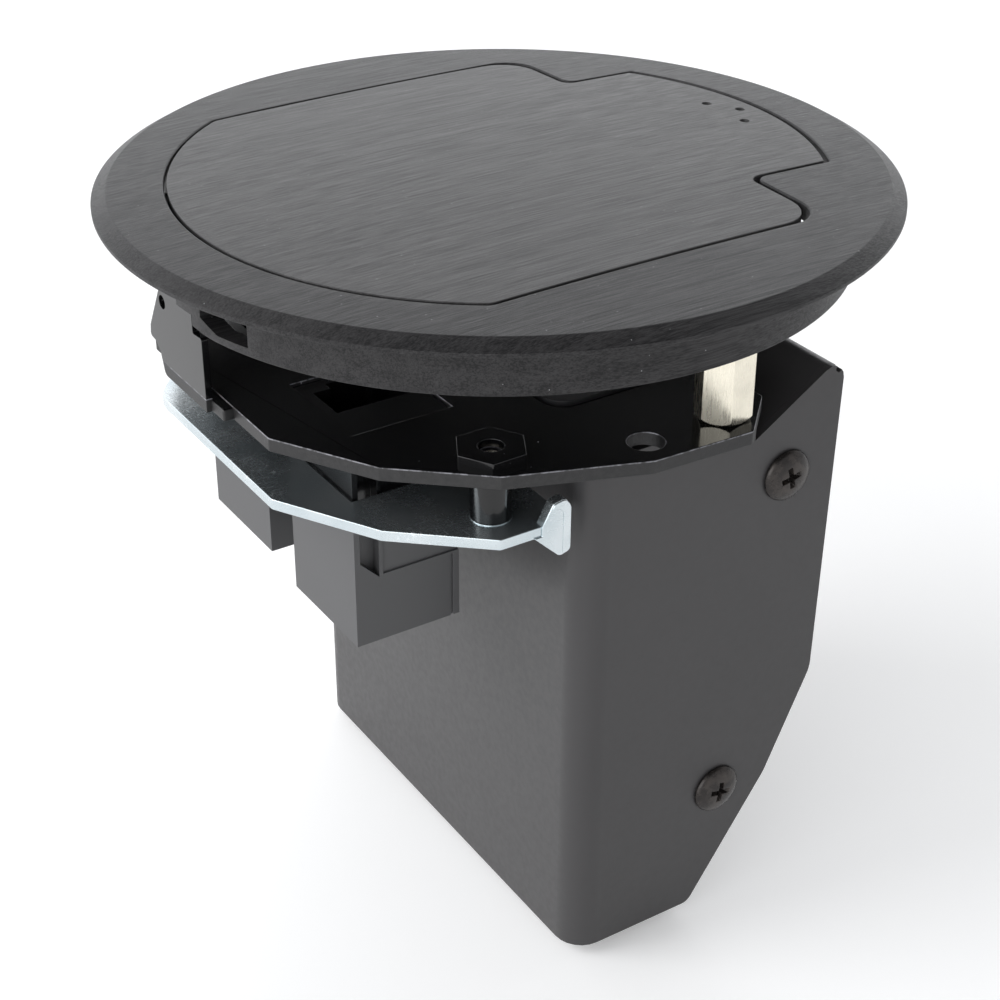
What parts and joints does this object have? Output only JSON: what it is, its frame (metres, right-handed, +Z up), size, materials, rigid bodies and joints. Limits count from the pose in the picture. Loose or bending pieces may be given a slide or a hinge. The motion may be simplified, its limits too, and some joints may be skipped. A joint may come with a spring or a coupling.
{
  "type": "desk grommet",
  "caption": "Round in-desk power and data grommet with a tilting flush lid, metal bezel, device plate, data jacks and a sheet-metal wiring box below.",
  "frame": {"origin": "centre of the bezel's seat, where the flange's underside meets the worktop", "axes": "+Z up out of the worktop, +X from the lid's tail to its finger tongue, +Y towards the back of the wiring box"},
  "size_m": [0.1142, 0.1142, 0.1111],
  "materials": {
    "anodised_aluminium": "black anodised, linear brushed",
    "moulded_plastic": "satin moulded",
    "jack_plastic": "fine matt",
    "zinc_steel": "zinc-plated sheet",
    "nickel": "nickel plated",
    "steel_pin": "ground",
    "powder_coat": "dark grey powder coat",
    "black_screw": "black plated",
    "brass": "stamped",
    "gold": "plated",
    "rubber": "matt",
    "nylon": "moulded"
  },
  "bodies": {
    "housing": {"bezel_ring": "anodised_aluminium", "device_plate": "moulded_plastic", "bracket_plate": "zinc_steel", "box_cover": "powder_coat", "box_body": "powder_coat", "cord_bushing": "nylon", "earth_screw": "brass", "hinge_pin_front": "steel_pin", "hinge_pin_back": "steel_pin", "lid_bumper_front": "rubber", "lid_bumper_back": "rubber", "standoff_front": "nickel", "standoff_back": "nickel", "bracket_screw_front": "nickel", "bracket_screw_back": "nickel", "jack_housing_front": "jack_plastic", "jack_housing_back": "jack_plastic", "jack_cap_front": "jack_plastic", "jack_cap_back": "jack_plastic", "jack_contacts_front": "gold", "jack_contacts_back": "gold", "outlet_front": "moulded_plastic", "outlet_back": "moulded_plastic", "outlet_live_front": "brass", "outlet_live_back": "brass", "outlet_neutral_front": "brass", "outlet_neutral_back": "brass", "outlet_earth_front": "brass", "outlet_earth_back": "brass", "cover_screw_front_upper": "black_screw", "cover_screw_front_lower": "black_screw", "cover_screw_back_upper": "black_screw", "cover_screw_back_lower": "black_screw"},
    "lid": {"lid": "anodised_aluminium"}
  },
  "joints": [
    {"name": "lid_tilt", "type": "hinge", "parent": "housing", "child": "lid", "pos_m": [0.0325, 0, 0.00045], "axis": [0, 1, 0], "range_deg": [0, 94]}
  ]
}
